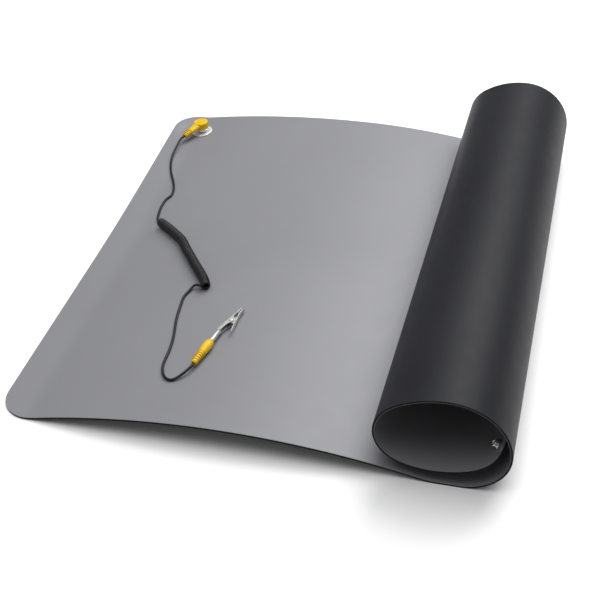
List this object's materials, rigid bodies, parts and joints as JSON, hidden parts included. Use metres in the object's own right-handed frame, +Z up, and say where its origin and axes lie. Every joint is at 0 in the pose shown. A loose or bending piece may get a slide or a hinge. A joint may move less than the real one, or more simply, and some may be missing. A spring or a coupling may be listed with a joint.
{
  "type": "anti static bench mat",
  "caption": "Two-layer rubber bench mat, half unrolled with one end in a loose roll, with its curly earth cord, snap, plug and spring clip.",
  "frame": {"origin": "on the floor, under the middle of the mat's outline as it lies", "axes": "+X from the mat's flat end to its roll, +Y to the rear along the roll, +Z up"},
  "size_m": [0.4428, 0.5, 0.0895],
  "materials": {
    "black_rubber": "matt black conductive rubber, faint calendered grain",
    "grey_rubber": "satin grey dissipative rubber",
    "plated_steel": "bright nickel plate",
    "clip_steel": "satin nickel plate on pressed sheet",
    "yellow_plastic": "soft moulded yellow plastic",
    "cord_jacket": "smooth black cord jacket"
  },
  "bodies": {
    "mat": {"base_layer": "black_rubber", "top_layer": "grey_rubber", "snap_washer": "plated_steel", "rear_stud": "plated_steel", "flap_stud": "plated_steel", "snap_socket": "plated_steel", "snap_head": "yellow_plastic", "snap_lead": "cord_jacket", "coiled_cord": "cord_jacket", "plug_lead": "cord_jacket", "plug_grip": "yellow_plastic", "plug_pin": "plated_steel", "clip_barrel_jaw": "clip_steel", "clip_pivot": "clip_steel", "clip_spring": "clip_steel"},
    "sprung_jaw": {"clip_lever_jaw": "clip_steel"}
  },
  "joints": [
    {"name": "jaw_pivot", "type": "hinge", "parent": "mat", "child": "sprung_jaw", "pos_m": [-0.04662, -0.12253, 0.02625], "axis": [0.05, -0.0218, -0.9985], "range_deg": [0, 24], "stiffness_Nm_per_rad": 0.03, "springref_deg": -20.05}
  ]
}
